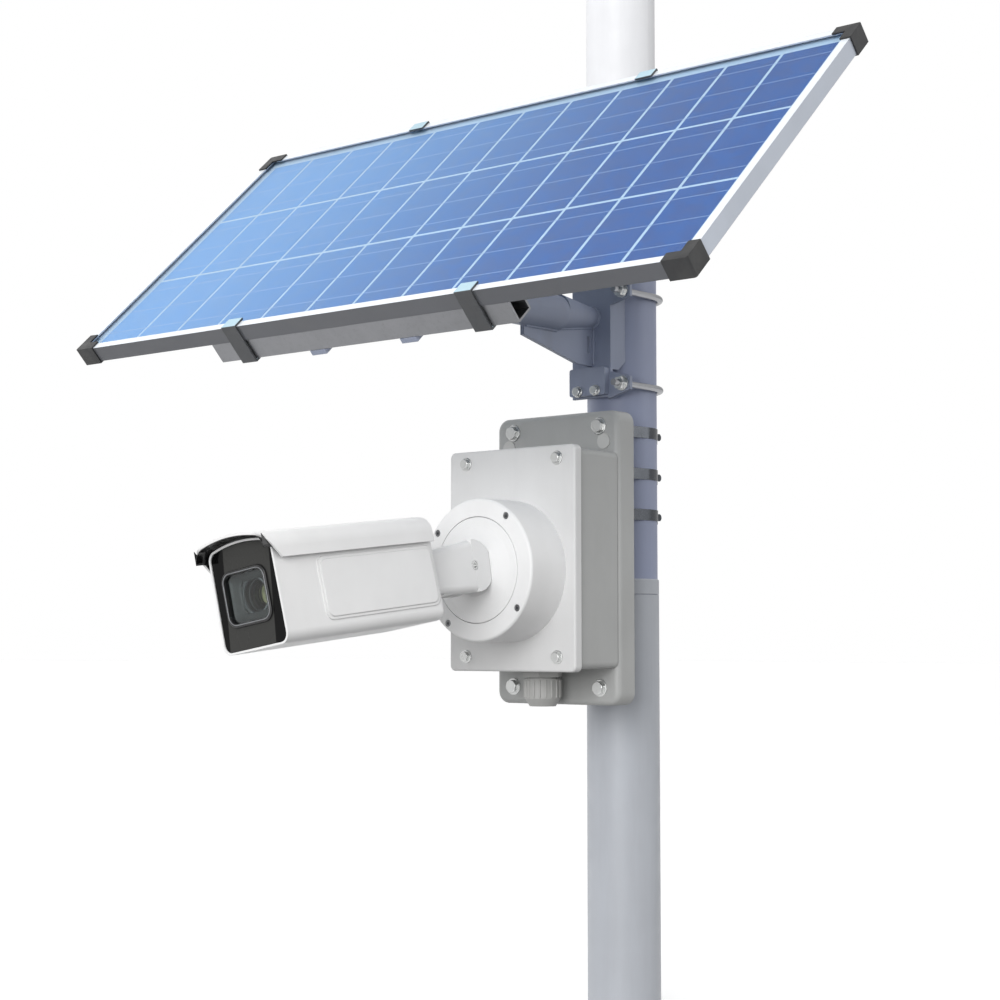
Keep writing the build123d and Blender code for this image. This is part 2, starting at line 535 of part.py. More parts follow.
def make_camera_base():
    """Round junction base on the cover; the pan ring turns in its front."""
    rear = BOX_FRONT - 0.05
    base = rod_y(BASE_R, BASE_FRONT, rear, 0, 0)
    base = fillet(base.edges().filter_by(GeomType.CIRCLE).group_by(Axis.Y)[0], 3.0)
    base -= rod_y(BASE_R - 5, BASE_FRONT + 6, rear + 1, 0, 0)
    screws = []
    for k in range(4):
        a = math.radians(45 + 90 * k)
        x, z = SCREW_PCD_R * math.cos(a), SCREW_PCD_R * math.sin(a)
        base += rod_y(5.5, BASE_FRONT + 5, rear, x, z)
        base -= rod_y(1.8, BASE_FRONT - 1, rear + 1, x, z)
        base -= rod_y(3.6, BASE_FRONT - 1, BASE_FRONT + 3.5, x, z)
        screw = rod_y(3.2, BASE_FRONT + 0.4, BASE_FRONT + 3.45, x, z)
        screw -= hexagon_y(3, BASE_FRONT - 1, BASE_FRONT + 2, x, z)
        screws.append(BASE * (screw + rod_y(1.6, BASE_FRONT + 3.4, BOX_FRONT + 6, x, z)))
    base -= rod_y(RING_R + 0.6, BASE_FRONT - 1, BASE_FRONT + 3.3, 0, 0)
    base -= rod_y(45.05, BASE_FRONT - 1, BASE_FRONT + 10, 0, 0)
    save("camera_base", BASE * base)
    save("base_screws", *screws)

    ring = rod_y(RING_R, BASE_FRONT - 0.4, BASE_FRONT + 3, 0, 0)
    ring = fillet(ring.edges().filter_by(GeomType.CIRCLE).group_by(Axis.Y)[0], 0.8)
    ring += rod_y(45.0, BASE_FRONT + 2, BASE_FRONT + 7.5, 0, 0)
    ring += flare()
    ring -= rod_x(KNUCKLE_R + 0.35, -ARM_HX - 0.4, ARM_HX + 0.4, KNUCKLE_Y, 0)
    tongue = hull(Circle(18), Pos(22, 10) * Circle(6), Pos(22, -10) * Circle(6))
    ring += Pos(-9.6, KNUCKLE_Y, 0) * prism(side_plane(), tongue, 19.2)
    ring -= rod_x(6.05, -12, 12, KNUCKLE_Y, 0)
    save("pan_ring", PAN * ring)
    keeper = rod_y(50, BASE_FRONT + 7.55, BASE_FRONT + 10.5, 0, 0)
    save("pan_keeper", PAN * (keeper - rod_y(30, BASE_FRONT + 7, BASE_FRONT + 11, 0, 0)))


def make_tilt_arm():
    """Forked arm on the tilt pin, with the roll bearing at its end. Local: forward is -Y."""
    reach = REAR_S - 18
    profile = hull(Circle(KNUCKLE_R - 0.4), Pos(-reach, 12) * Circle(8), Pos(-reach, -16) * Circle(8))
    arm = prism(side_plane(0.3 - ARM_HX), profile, 2 * ARM_HX - 0.6)
    outer = arm.faces().sort_by(Axis.X)
    arm = fillet(outer[0].edges() + outer[-1].edges(), 7)
    arm += rod_x(KNUCKLE_R, -ARM_HX, ARM_HX, 0, 0) & block(-40, 40, 0, 40, -40, 40)
    arm -= block(-9.95, 9.95, -27, 30, -30, 30)
    arm -= rod_x(6.02, -30, 18.55, 0, 0) + rod_x(4.7, 17, 30, 0, 0)
    arm -= rod_y(12.05, -90, 12 - reach, 0, 0)
    arm -= block(-30, 30, -reach - 4, -reach + 10, -26, -23)
    save("tilt_arm", HEAD * arm)

    pin = rod_x(6.0, -21.6, 18.5, 0, 0) + rod_x(4.5, 18, 21.6, 0, 0) - rod_x(2.2, 20, 23, 0, 0)
    save("tilt_pin", HEAD * pin)

    spigot = rod_y(12.0, -REAR_S - 4, 11.7 - reach, 0, 0) + rod_y(20, -REAR_S + 0.05, -reach - 8.4, 0, 0)
    save("roll_spigot", HEAD * (spigot - rod_y(7, -REAR_S - 5, 0, 0, 0)))


# ---------------------------------------------------------------- camera body
# Local axes: forward is -Y, and s = -y is the distance forward of the tilt pin.
def outline(grow=0.0):
    """Section of the camera body: crowned top, nearly upright sides, rounded bottom corners."""
    top_x, top_z, bottom_x, bottom_z = 41.5, 43.0, 42.5, -49.0
    edge = [
        Line((-bottom_x, bottom_z), (bottom_x, bottom_z)),
        Line((bottom_x, bottom_z), (top_x, top_z)),
        ThreePointArc((top_x, top_z), (0, CROWN), (-top_x, top_z)),
        Line((-top_x, top_z), (-bottom_x, bottom_z))]
    face = make_face(edge)
    corners = face.vertices()
    low = corners.sort_by(Axis.Y)[0:2]
    high = corners.sort_by(Axis.Y)[2:4]
    face = fillet(low, 10)
    corners = face.vertices().sort_by(Axis.Y)
    face = fillet(corners[-2:], 10)
    return offset(face, grow) if grow else face


def along(section, s0, s1):
    """Extrude a front-view section from s0 forward to s1."""
    return prism(front_plane(-s0), section, s1 - s0)


def make_camera_body():
    housing = along(outline(), REAR_S, FACE_S)
    housing = fillet(housing.edges().group_by(Axis.Y)[-1], 8)
    housing -= along(outline(-3.0), REAR_S + 4, FACE_S - 8)
    housing -= along(outline(-2.0), FACE_S - 8.01, FACE_S + 1)
    housing -= rod_y(12.1, -REAR_S - 5, -REAR_S + 1, 0, 0)
    save("camera_housing", HEAD * housing)

    # raised side panels with rounded corners, in two steps
    length = TRIM_FRONT - TRIM_REAR
    middle = Pos(-(TRIM_REAR + TRIM_FRONT) / 2, -6)
    foot = along(outline(0.9), REAR_S, FACE_S) - along(outline(0.02), REAR_S - 1, FACE_S + 1)
    pad = along(outline(1.7), REAR_S, FACE_S) - along(outline(0.85), REAR_S - 1, FACE_S + 1)
    trims = []
    for start in (-60, 20):
        low = foot & prism(side_plane(start), middle * RectangleRounded(length, 58, 9), 40)
        high = pad & prism(side_plane(start), middle * RectangleRounded(length - 6, 52, 7), 40)
        trims.append(HEAD * (low + high))
    save("side_trim", *trims)

    # sunshield: a skin over the top with a visor whose cheeks are cut back at an angle
    shield = along(outline(5.6), REAR_S, VISOR_S + 4) - along(outline(3.3), REAR_S - 1, VISOR_S + 5)
    keep = Polygon((-SHIELD_REAR, 70), (-SHIELD_REAR, SHIELD_Z), (-FACE_S + 6, SHIELD_Z),
                   (-VISOR_S, SHIELD_Z + CHEEK_RISE), (-VISOR_S, 70), align=None)
    keep = fillet(keep.vertices().sort_by(Axis.X)[0:2].sort_by(Axis.Y)[0], 4)
    shield &= prism(side_plane(-80), keep, 160)
    for s in SHIELD_SCREWS:
        shield -= block(-2.1, 2.1, -s - 8, -s + 8, 48, 60)
        shield -= block(-4.4, 4.4, -s - 10.4, -s + 10.4, CROWN + 4.2, 60)
    save("sunshield", HEAD * shield)
    screws = []
    for s in SHIELD_SCREWS:
        head = rod_z(4.2, CROWN + 4.25, CROWN + 5.4, 0, -s)
        head = fillet(head.edges().group_by(Axis.Z)[-1], 0.5)
        head -= block(-0.5, 0.5, -s - 5, -s + 5, CROWN + 4.9, 60)
        foot = CROWN + 0.05
        shank = rod_z(4.2, foot, CROWN + 2.9, 0, -s) + rod_z(1.9, foot, CROWN + 4.3, 0, -s)
        screws.append(HEAD * (head + shank))
    save("shield_screws", *screws)

    middle = Pos(0, -1)
    window = middle * RectangleRounded(BEZEL_W, BEZEL_H, 11)
    opening = middle * RectangleRounded(BEZEL_W - 7, BEZEL_H - 7, 8)
    face = along(outline(-2.1), FACE_S - 6, FACE_S - 0.7)
    face = fillet(face.edges().group_by(Axis.Y)[0], 0.8) - along(window, FACE_S - 8, FACE_S + 2)
    save("front_glass", HEAD * face)
    bezel = along(middle * RectangleRounded(BEZEL_W - 0.1, BEZEL_H - 0.1, 10.9), FACE_S - 7, FACE_S + 1.6)
    bezel = fillet(bezel.edges().group_by(Axis.Y)[0], 1.2) - along(opening, FACE_S - 8, FACE_S + 3)
    save("window_bezel", HEAD * bezel)
    pane = along(middle * RectangleRounded(BEZEL_W - 7.1, BEZEL_H - 7.1, 7.9), FACE_S - 3.5, FACE_S - 1.5)
    save("lens_window", HEAD * pane)

    board = along(outline(-6), FACE_S - 13, FACE_S - 11.4)
    board -= along(middle * Rectangle(BEZEL_W + 2, BEZEL_H + 2), FACE_S - 20, FACE_S)
    lights = []
    for x, z in ((-20, 33), (0, 35), (20, 33), (-17, -36), (0, -37), (17, -36)):
        lights.append(HEAD * (rod_y(4.5, -FACE_S + 7.5, -FACE_S + 11.35, x, z)))
    save("ir_board", HEAD * board)
    save("ir_lights", *lights)

    barrel = rod_y(18, -FACE_S + 10, -222, 0, -1) - rod_y(15, -FACE_S + 9, -227, 0, -1)
    barrel -= rod_y(9, -228, -221, 0, -1)
    rims = barrel.edges().filter_by(GeomType.CIRCLE).group_by(Axis.Y)[0]
    barrel = chamfer(rims.sort_by(SortBy.LENGTH)[0], 1.6)
    save("lens_barrel", HEAD * barrel)
    dome = Pos(0, -262 + 30 - 5, -1) * Sphere(30) & rod_y(14.95, -270, -258, 0, -1)
    save("front_lens", HEAD * dome)
    group = rod_y(14.95, -248, -238, 0, -1) - rod_y(11, -249, -245, 0, -1) - rod_y(11, -241, -237, 0, -1)
    save("focus_group", HEAD * group)

    sensor = block(-22, 22, -221.5, -219.5, -23, 21) + block(-10, 10, -221.95, -221.4, -9, 7)
    save("sensor_board", HEAD * sensor)
    main = block(-28, 28, -212, -118, -33, -31.4) + block(-12, 12, -190, -160, -31.5, -27) + block(
        -24, 24, -128, -118, -31.5, -20)
    for x in (-21, 21):
        for y in (-208, -122):
            main += rod_z(2.5, -45.9, -32, x, y)
    save("main_board", HEAD * main)


make_mast()
make_bracket()
make_panel()
make_straps()
make_box()
make_gland()
make_camera_base()
make_tilt_arm()
make_camera_body()
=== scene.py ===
"""Looks of the pole-mounted solar camera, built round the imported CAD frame.

Blender works in metres. Places shared with the CAD part are its own millimetres, and MM converts them.
"""
import math

import bmesh
import bpy
from mathutils import Matrix, Vector


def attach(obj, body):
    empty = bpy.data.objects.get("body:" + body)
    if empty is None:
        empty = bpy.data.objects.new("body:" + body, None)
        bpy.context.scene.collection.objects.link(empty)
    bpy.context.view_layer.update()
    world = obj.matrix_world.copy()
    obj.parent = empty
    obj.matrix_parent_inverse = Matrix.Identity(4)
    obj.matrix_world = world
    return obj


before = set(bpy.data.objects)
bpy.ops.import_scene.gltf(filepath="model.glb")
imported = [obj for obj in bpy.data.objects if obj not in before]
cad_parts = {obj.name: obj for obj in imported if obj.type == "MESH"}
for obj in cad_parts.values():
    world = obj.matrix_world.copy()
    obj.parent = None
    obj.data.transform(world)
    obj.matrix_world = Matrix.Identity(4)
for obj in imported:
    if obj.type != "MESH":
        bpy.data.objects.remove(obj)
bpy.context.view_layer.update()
MM = 0.001

# ---------------------------------------------------------------- places taken from the CAD part
PANEL_W, PANEL_H, PANEL_ELEV = 793.0, 378.0, 47.0
CELL_EDGE, CELL_COLS, CELL_ROWS = 15.0, 12, 3
HINGE_Y, HINGE_Z, HINGE_DEPTH, HINGE_DOWN = -281.0, 750.0, 77.0, 52.0
CELL_TOP, GLASS_BACK = -4.78, -4.75
ARM_Z, CHANNEL_FRONT = 750.0, -54.0
FACE_S, VISOR_S, SHIELD_Z, CHEEK_RISE = 286.0, 299.0, 25.5, 23.0
BEZEL_W, BEZEL_H = 58.0, 51.0
BASE_Z, KNUCKLE_Y, PAN_ROLL, TILT = 475.0, -267.5, 9.0, 6.2
LENS_Z = -1  # the lens sits just under the body's axis
PANEL_SHADE_EDGE = (0.895, 0.899)  # where the mast's colour changes to the painted panel shade below, in metres

elev = math.radians(PANEL_ELEV)
PANEL_N = Vector((0, -math.cos(elev), math.sin(elev)))
PANEL_U = Vector((0, math.sin(elev), math.cos(elev)))
PANEL_C = Vector((0, HINGE_Y, HINGE_Z)) + PANEL_N * HINGE_DEPTH + PANEL_U * HINGE_DOWN
PANEL = Matrix.Translation(PANEL_C) @ Matrix.Rotation(math.radians(90 - PANEL_ELEV), 4, "X")
HEAD = (Matrix.Translation((0, 0, BASE_Z)) @ Matrix.Rotation(math.radians(-PAN_ROLL), 4, "Y")
        @ Matrix.Translation((0, KNUCKLE_Y, 0)) @ Matrix.Rotation(math.radians(TILT), 4, "X"))


def srgb(code):
    """Linear RGBA from a #rrggbb colour."""
    parts = [int(code[i:i + 2], 16) / 255 for i in (1, 3, 5)]
    return (*[c / 12.92 if c <= 0.04045 else ((c + 0.055) / 1.055) ** 2.4 for c in parts], 1.0)


# ---------------------------------------------------------------- material building blocks
class Shader:
    """A node material under construction."""

    def __init__(self, name):
        self.mat = bpy.data.materials.new(name)
        self.mat.use_nodes = True
        self.nodes = self.mat.node_tree.nodes
        self.links = self.mat.node_tree.links
        self.nodes.clear()
        self.out = self.nodes.new("ShaderNodeOutputMaterial")
        self.bsdf = None

    def add(self, kind, inputs=None, **props):
        node = self.nodes.new("ShaderNode" + kind)
        for key, value in props.items():
            setattr(node, key, value)
        for key, value in (inputs or {}).items():
            self.put(node.inputs[key], value)
        return node

    def put(self, socket, value):
        if isinstance(value, bpy.types.NodeSocket):
            self.links.new(value, socket)
        else:
            socket.default_value = value

    def coords(self, scale=(1, 1, 1), matrix=None):
        """Object coordinates in metres, which are the row frame; matrix (mm) is a tilted piece's axes."""
        here = self.add("TexCoord").outputs["Object"]
        if matrix is not None:
            rotation = matrix.to_3x3().transposed().to_euler()
            moved = self.add("VectorMath", {0: here, 1: matrix.translation * MM}, operation="SUBTRACT")
            here = self.add("Mapping", {"Vector": moved.outputs[0], "Rotation": rotation}).outputs[0]
        if tuple(scale) != (1, 1, 1):
            here = self.add("VectorMath", {0: here, 1: scale}, operation="MULTIPLY").outputs[0]
        return here

    def noise(self, scale, detail=3.0, rough=0.5, vector=None, stretch=None):
        """Noise, mostly between 0.3 and 0.7, drawn out along an axis where stretch is small."""
        vector = vector or self.coords(stretch or (1, 1, 1))
        inputs = {"Vector": vector, "Scale": scale, "Detail": detail, "Roughness": rough}
        return self.add("TexNoise", inputs).outputs[0]

    def remap(self, value, low, high, to_low=0.0, to_high=1.0, smooth=False):
        """Value moved from low..high to to_low..to_high, and held at the ends."""
        node = self.add("MapRange", {0: value, 1: low, 2: high, 3: to_low, 4: to_high})
        node.interpolation_type = "SMOOTHSTEP" if smooth else "LINEAR"
        return node.outputs[0]

    def math(self, operation, a, b=0.0):
        return self.add("Math", {0: a, 1: b}, operation=operation).outputs[0]

    def mix(self, factor, a, b, blend="MIX"):
        node = self.add("Mix", data_type="RGBA", blend_type=blend)
        for socket, value in zip((node.inputs[0], node.inputs[6], node.inputs[7]), (factor, a, b)):
            self.put(socket, value)
        return node.outputs[2]

    def grey(self, value):
        return self.add("CombineColor", {0: value, 1: value, 2: value}).outputs[0]

    def axis(self, vector, name):
        return self.add("SeparateXYZ", {0: vector}).outputs[name]

    def edges(self, radius, low=0.02, high=0.2):
        """1 on worn edges, 0 on flats."""
        soft = self.add("Bevel", {"Radius": radius}, samples=4).outputs[0]
        flat = self.add("NewGeometry").outputs["Normal"]
        facing = self.add("VectorMath", {0: soft, 1: flat}, operation="DOT_PRODUCT").outputs["Value"]
        return self.remap(self.math("SUBTRACT", 1.0, facing), low, high)

    def bump(self, height, strength, distance, round_edges=0.0):
        """Normal with fine relief, and with its edges rounded off where round_edges is a radius."""
        inputs = {"Height": height, "Strength": strength, "Distance": distance}
        if round_edges:
            inputs["Normal"] = self.add("Bevel", {"Radius": round_edges}, samples=4).outputs[0]
        return self.add("Bump", inputs).outputs[0]

    def principled(self, **inputs):
        self.bsdf = self.add("BsdfPrincipled")
        for key, value in inputs.items():
            self.put(self.bsdf.inputs[key.replace("_", " ").title().replace("Ior", "IOR")], value)
        self.links.new(self.bsdf.outputs[0], self.out.inputs[0])
        return self.mat


def coated(name, colour, rough=0.42, peel=1100.0, peel_depth=0.25, dirt=0.10, worn=None, metallic=0.0,
           round_edges=0.0006, grime=(0.16, 0.14, 0.12, 1.0), base=None):
    """Powder coat or moulded plastic: fine grain, faint mottling, dirt streaks and lighter edges."""
    s = Shader(name)
    colour = base(s) if base else colour
    mottle = s.remap(s.noise(14, 4), 0.35, 0.7, 0.965, 1.03)
    tone = s.mix(1.0, colour, s.grey(mottle), "MULTIPLY")
    streak = s.noise(26, 5, 0.62, stretch=(1.0, 1.0, 0.12))
    film = s.math("MULTIPLY", s.remap(streak, 0.48, 0.82), dirt)
    tone = s.mix(film, tone, grime)
    if worn:
        patchy = s.remap(s.noise(160, 4), 0.45, 0.62)
        tone = s.mix(s.math("MULTIPLY", s.edges(0.0009), patchy), tone, worn)
    grain = s.noise(peel, 2, 0.55)
    roughness = s.remap(s.noise(60, 4), 0.3, 0.7, rough - 0.06, rough + 0.08)
    normal = s.bump(grain, peel_depth, 0.0002, round_edges)
    return s.principled(base_color=tone, roughness=roughness, metallic=metallic, normal=normal)


def bare_metal(name, colour, rough=0.3, stretch=(1, 1, 1), grain=900.0, depth=0.12, stain=0.25,
               round_edges=0.0004):
    """Bare or plated metal with drawn or brushed grain, cloudy roughness and darker stains in scattered
    spots.
    """
    s = Shader(name)
    cloud = s.noise(45, 5, 0.6)
    spots = s.math("MULTIPLY", s.remap(s.noise(210, 5, 0.7), 0.52, 0.75), stain)
    tone = s.mix(spots, colour, tuple(c * 0.55 for c in colour[:3]) + (1.0,))
    lines = s.noise(grain, 3, 0.6, stretch=stretch)
    cloudy = s.remap(cloud, 0.3, 0.7, rough - 0.07, rough + 0.1)
    roughness = s.math("ADD", cloudy, s.remap(lines, 0.2, 0.8, -0.03, 0.03))
    return s.principled(base_color=tone, roughness=roughness, metallic=1.0,
                        normal=s.bump(lines, depth, 0.0001, round_edges))


def clear(name, tint, rough, ior=1.5, ripple=0.0, ripple_scale=700.0, reflect=(1, 1, 1, 1), film=0.0):
    """Thin clear sheet: transparent straight through, Fresnel gloss on top, a little dust that scatters."""
    s = Shader(name)
    normal = s.bump(s.noise(ripple_scale, 2), ripple, 0.0001)
    front = s.math("SUBTRACT", 1.0, s.add("NewGeometry").outputs["Backfacing"])
    fresnel = s.math("MULTIPLY", s.add("Fresnel", {"IOR": ior, "Normal": normal}).outputs[0], front)
    gloss = s.add("BsdfGlossy", {"Color": reflect, "Roughness": rough, "Normal": normal}).outputs[0]
    through = s.add("BsdfTransparent", {"Color": tint}).outputs[0]
    both = s.add("MixShader", {0: fresnel, 1: through, 2: gloss}).outputs[0]
    if film:
        dust = s.math("MULTIPLY", s.remap(s.noise(20, 6, 0.65), 0.4, 0.8), film)
        haze = s.add("BsdfDiffuse", {"Color": (0.62, 0.62, 0.58, 1)}).outputs[0]
        both = s.add("MixShader", {0: dust, 1: both, 2: haze}).outputs[0]
    s.links.new(both, s.out.inputs[0])
    return s.mat


def mast_paint_and_panel_shade(s):
    """White above the panel; blue-grey below it, which is painted shade standing for the panel's shadow on
    the mast. From the front the panel hides the change.
    """
    height = s.axis(s.coords(), "Z")
    # 9ca4be below the edge is painted shade from the panel above; #f6f7fa above it is the white paint
    return s.mix(s.remap(height, *PANEL_SHADE_EDGE), srgb("#9ca4be"), srgb("#f6f7fa"))


def lit_and_shaded_faces(lip, side):
    """One colour on faces that look the way the panel does, another on the rest: the first is painted light
    and the second painted shade.
    """
    def colour(s):
        normal = s.add("TexCoord").outputs["Normal"]
        facing = s.add("VectorMath", {0: normal, 1: PANEL_N}, operation="DOT_PRODUCT").outputs["Value"]
        return s.mix(s.remap(facing, 0.80, 0.90), side, lip)
    return colour


def cell_material():
    """Blue polycrystalline silicon: angular grains, print fingers, and painted light: a lighter blue
    towards the panel's left end.
    """
    s = Shader("silicon_cells")
    local = s.coords(matrix=PANEL)
    inputs = {"Vector": local, "Scale": 95.0, "Randomness": 1.0}
    grains = s.add("TexVoronoi", inputs, feature="F1", distance="MANHATTAN")
    tint = s.add("SeparateColor", {0: grains.outputs["Color"]}).outputs[0]
    blue = s.mix(tint, (0.018, 0.088, 0.32, 1), (0.026, 0.125, 0.41, 1))
    # painted light: the cells turn lighter blue towards the panel's left end
    along = s.remap(s.axis(local, "X"), -0.42, 0.30, 1.0, 0.0, smooth=True)
    blue = s.mix(s.math("MULTIPLY", along, 0.85), blue, (0.26, 0.54, 0.93, 1))
    fingers = s.math("PINGPONG", s.axis(local, "X"), 0.00105)
    line = s.math("MULTIPLY", s.remap(fingers, 0.00002, 0.0001, 1.0, 0.0), 0.28)
    tone = s.mix(line, blue, (0.55, 0.66, 0.80, 1))
    rough = s.remap(tint, 0, 1, 0.35, 0.55)
    s.principled(base_color=tone, roughness=rough, normal=s.bump(tint, 0.05, 0.0001))
    s.bsdf.inputs["Specular IOR Level"].default_value = 0.15
    return s.mat


def face_material():
    """Polished black acrylic with a painted reflection: a grey band that leans across the middle, black
    either side.
    """
    s = Shader("face_acrylic")
    local = s.coords(matrix=HEAD)
    # the grey band across the middle is a painted reflection
    lean = s.math("ADD", s.math("MULTIPLY", s.axis(local, "Z"), 0.143), 0.0018)
    offset = s.math("ABSOLUTE", s.math("SUBTRACT", s.axis(local, "X"), lean))
    band = s.remap(offset, 0.0295, 0.0305, 1.0, 0.0, smooth=True)
    tone = s.mix(band, (0.0022, 0.0022, 0.0024, 1), (0.048, 0.048, 0.046, 1))
    specks = s.remap(s.noise(2600, 2), 0.6, 0.75, 0.0, 0.5)
    tone = s.mix(s.math("MULTIPLY", specks, 0.05), tone, (0.4, 0.4, 0.38, 1))
    rough = s.math("ADD", s.remap(band, 0, 1, 0.07, 0.24), s.remap(s.noise(40, 4), 0.3, 0.7, 0.0, 0.05))
    s.principled(base_color=tone, roughness=rough, normal=s.bump(s.noise(30, 2), 0.02, 0.0002, 0.0005))
    s.bsdf.inputs["Specular IOR Level"].default_value = 0.10
    return s.mat


def board_material():
    """Solder mask with copper runs under it and bare pads."""
    s = Shader("circuit_board")
    here = s.coords()
    greens = {"Color1": (0.010, 0.075, 0.035, 1), "Color2": (0.014, 0.095, 0.045, 1),
              "Mortar": (0.03, 0.20, 0.09, 1)}
    runs = s.add("TexBrick", {"Vector": here, "Scale": 130.0, "Mortar Size": 0.035, **greens}).outputs[0]
    dots = s.add("TexVoronoi", {"Vector": here, "Scale": 260.0}).outputs["Distance"]
    tone = s.mix(s.remap(dots, 0.10, 0.14, 0.8, 0.0), runs, (0.75, 0.62, 0.35, 1))
    return s.principled(base_color=tone, roughness=s.remap(s.noise(70), 0.3, 0.7, 0.25, 0.45),
                        normal=s.bump(dots, 0.1, 0.0001, 0.0003))


def lens_material():
    """Coated front element: amber and green reflections over a dark barrel."""
    s = Shader("coated_lens")
    weight = s.add("LayerWeight", {"Blend": 0.45}).outputs["Facing"]
    ramp = s.add("ValToRGB", {0: weight})
    ramp.color_ramp.elements[0].color = (0.30, 0.22, 0.50, 1)
    ramp.color_ramp.elements[1].color = (0.25, 0.75, 0.45, 1)
    ramp.color_ramp.elements.new(0.35).color = (0.85, 0.80, 0.30, 1)
    polish = s.remap(s.noise(50), 0.3, 0.7, 0.015, 0.03)
    gloss = s.add("BsdfGlossy", {"Color": ramp.outputs[0], "Roughness": polish})
    deep = s.add("BsdfPrincipled", {"Base Color": (0.006, 0.007, 0.008, 1), "Roughness": 0.1})
    mixed = s.add("MixShader", {0: 0.42, 1: deep.outputs[0], 2: gloss.outputs[0]})
    s.links.new(mixed.outputs[0], s.out.inputs[0])
    return s.mat


def rubber(name, colour=(0.014, 0.014, 0.015, 1)):
    """Matt black rubber with a pale bloom."""
    s = Shader(name)
    bloom = s.math("MULTIPLY", s.remap(s.noise(90, 5, 0.6), 0.45, 0.75), 0.35)
    tone = s.mix(bloom, colour, (0.10, 0.10, 0.10, 1))
    return s.principled(base_color=tone, roughness=s.remap(s.noise(300), 0.3, 0.7, 0.6, 0.8),
                        normal=s.bump(s.noise(2400), 0.3, 0.0001, 0.0005))


# ---------------------------------------------------------------- finishes by CAD node
# the mast's blue-grey below the panel is painted shade
mast_upper_paint_and_shade = coated("mast_upper_paint_and_shade", None, 0.44, 900, 0.35, 0.10, base=mast_paint_and_panel_shade)
mast_lower_paint = coated("mast_lower_paint", srgb("#bcc0c7"), 0.42, 900, 0.35, 0.14)
bracket_paint = coated("bracket_paint", srgb("#979fb4"), 0.48, 1000, 0.4, 0.22, worn=srgb("#b9bbc2"))
pad_paint = coated("saddle_paint", srgb("#5c5f68"), 0.5, 1000, 0.4, 0.2, worn=srgb("#9a9ca2"))
zinc = bare_metal("zinc_plate", srgb("#c9cac9"), 0.30, grain=1400)
hook_steel = bare_metal("hook_steel", srgb("#9a9b9e"), 0.34, grain=1400)
# dark base colour #5b5e63 is a painted dark reflection on the bands
stainless = bare_metal("stainless_band_painted_dark", srgb("#5b5e63"), 0.20, stretch=(0.05, 0.05, 1.0), grain=2400)
# white lip and greyer #c3cad6 sides: the sides' grey is painted shade
frame_metal_side_shade = coated("anodised_frame", None, 0.36, 2200, 0.12, 0.06, metallic=0.15,
                     worn=srgb("#ffffff"), base=lit_and_shaded_faces(srgb("#f1f7fd"), srgb("#c3cad6")))
# dark grey #5f6166 on the bottom frame's down-facing sides is painted shade
frame_bottom_painted_shade = coated("anodised_frame_painted_shade", None, 0.38, 2200, 0.12, 0.12, metallic=0.15,
                     base=lit_and_shaded_faces(srgb("#f1f7fd"), srgb("#5f6166")))
rail_metal = bare_metal("rail_extrusion", srgb("#838487"), 0.42, stretch=(0.03, 1.0, 1.0), grain=1600)
# pale cyan on the clamps' front faces is painted light, and dark grey #434548 on the rest is painted shade
clamp_coat = coated("clamp_coat", None, 0.45, 1200, 0.3, 0.15, worn=srgb("#7e8084"),
                    base=lit_and_shaded_faces(srgb("#b9d8e6"), srgb("#434548")))
screw_black = bare_metal("blackened_screw", srgb("#77787a"), 0.38, grain=1800)
trim_white = coated("side_panel_coat", srgb("#f2f2f2"), 0.38, 2000, 0.22, 0.03, round_edges=0.0016)
black_plastic = coated("black_plastic", srgb("#1f2022"), 0.5, 1500, 0.5, 0.12, grime=(0.25, 0.24, 0.22, 1))
sheet_white = coated("back_sheet_laminate", srgb("#d3e6f6"), 0.5, 1500, 0.2, 0.05)
plug_grey = coated("plug_plastic", srgb("#c6c6c4"), 0.5, 1700, 0.3, 0.08)
shell_grey = coated("shell_plastic", srgb("#b0b1b0"), 0.46, 1700, 0.35, 0.10)
cover_grey = coated("cover_plastic", srgb("#dddddd"), 0.44, 1700, 0.35, 0.06)
gland_grey = coated("gland_nylon", srgb("#b6b6b4"), 0.5, 1500, 0.3, 0.12)
camera_white = coated("camera_powder_coat", srgb("#f2f2f2"), 0.38, 2000, 0.22, 0.03)
bare_alloy = bare_metal("machined_alloy", srgb("#bfc1c4"), 0.28, grain=2000)
bezel_black = coated("bezel_satin", srgb("#1b1b1c"), 0.32, 2400, 0.2, 0.03, grime=(0.2, 0.2, 0.2, 1))
barrel_black = coated("lens_barrel_black", srgb("#242526"), 0.42, 2400, 0.2, 0.03, grime=(0.2, 0.2, 0.2, 1))
wrap_blue = coated("battery_wrap", srgb("#1d4f8c"), 0.3, 400, 0.25, 0.05)
seal_rubber = rubber("seal_rubber")
cells = cell_material()
panel_clear = clear("panel_glass", (0.93, 0.97, 1.0, 1), 0.08, 1.5, 0.05, 900.0,
                    reflect=(0.42, 0.45, 0.50, 1), film=0.02)
window_clear = clear("window_glass", (0.80, 0.84, 0.84, 1), 0.02, 1.45, 0.0)
emitter = clear("emitter_dome", (0.25, 0.03, 0.05, 1), 0.05, 1.5)
